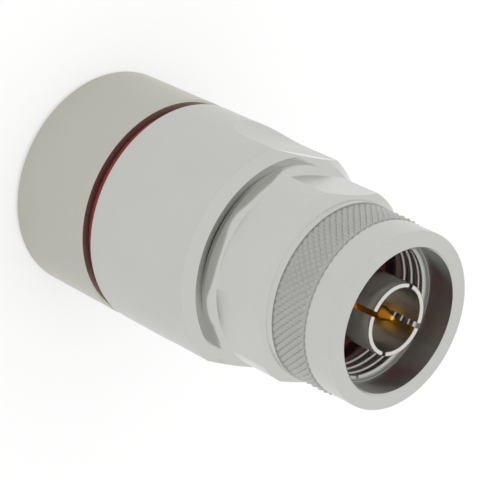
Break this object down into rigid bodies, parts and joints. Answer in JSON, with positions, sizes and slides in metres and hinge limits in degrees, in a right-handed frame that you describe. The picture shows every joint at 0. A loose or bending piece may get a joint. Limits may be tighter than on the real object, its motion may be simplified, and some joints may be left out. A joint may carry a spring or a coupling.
{
  "type": "n type coaxial connector",
  "caption": "Cable plug for corrugated coaxial feeder cable, with a free-turning knurled hexagon coupling nut and a screw-on rear clamping nut.",
  "frame": {"origin": "centre of the rear face of the clamping nut, where the plug stands", "axes": "+Z along the plug's axis towards the mating end; +X and -X are the normals of the two wrench flats"},
  "size_m": [0.0262, 0.0262, 0.0485],
  "materials": {
    "plated_satin": "brass with a satin white-bronze plate",
    "plated_bright": "spring bronze with a bright white plate",
    "bare_brass": "plain turned brass",
    "spring_metal": "spring wire",
    "gold_plate": "gold plated, bright",
    "white_insulator": "smooth fluoropolymer",
    "red_rubber": "silicone rubber"
  },
  "bodies": {
    "connector_body": {"main_body": "plated_satin", "flare_cone": "bare_brass", "rear_bead": "white_insulator", "cable_socket": "gold_plate", "center_pin": "gold_plate", "front_bead": "white_insulator", "outer_contact": "plated_bright", "contact_seal_ring": "red_rubber", "contact_retainer": "bare_brass", "face_gasket": "red_rubber", "snap_ring": "spring_metal", "slip_washer": "white_insulator"},
    "clamp_stack": {"jacket_gasket": "red_rubber", "gasket_washer": "bare_brass", "clamp_collet": "bare_brass", "thrust_washer": "bare_brass", "collet_spring": "spring_metal"},
    "rear_nut": {"clamping_nut": "plated_satin", "body_seal_ring": "red_rubber"},
    "front_nut": {"coupling_nut": "plated_satin"}
  },
  "joints": [
    {"name": "clamp_feed", "type": "slide", "parent": "connector_body", "child": "clamp_stack", "axis": [0, 0, 1], "range_m": [-0.006, 0]},
    {"name": "clamping_nut_turn", "type": "hinge", "parent": "clamp_stack", "child": "rear_nut", "pos_m": [0, 0, 0.006], "axis": [0, 0, 1], "range_deg": [-2160, 0]},
    {"name": "coupling_nut_turn", "type": "hinge", "parent": "connector_body", "child": "front_nut", "pos_m": [0, 0, 0.04], "axis": [0, 0, 1], "continuous": true}
  ],
  "couplings": [
    {"joint": "clamp_feed", "follows": "clamping_nut_turn", "m_per_rad": 0.000159}
  ]
}
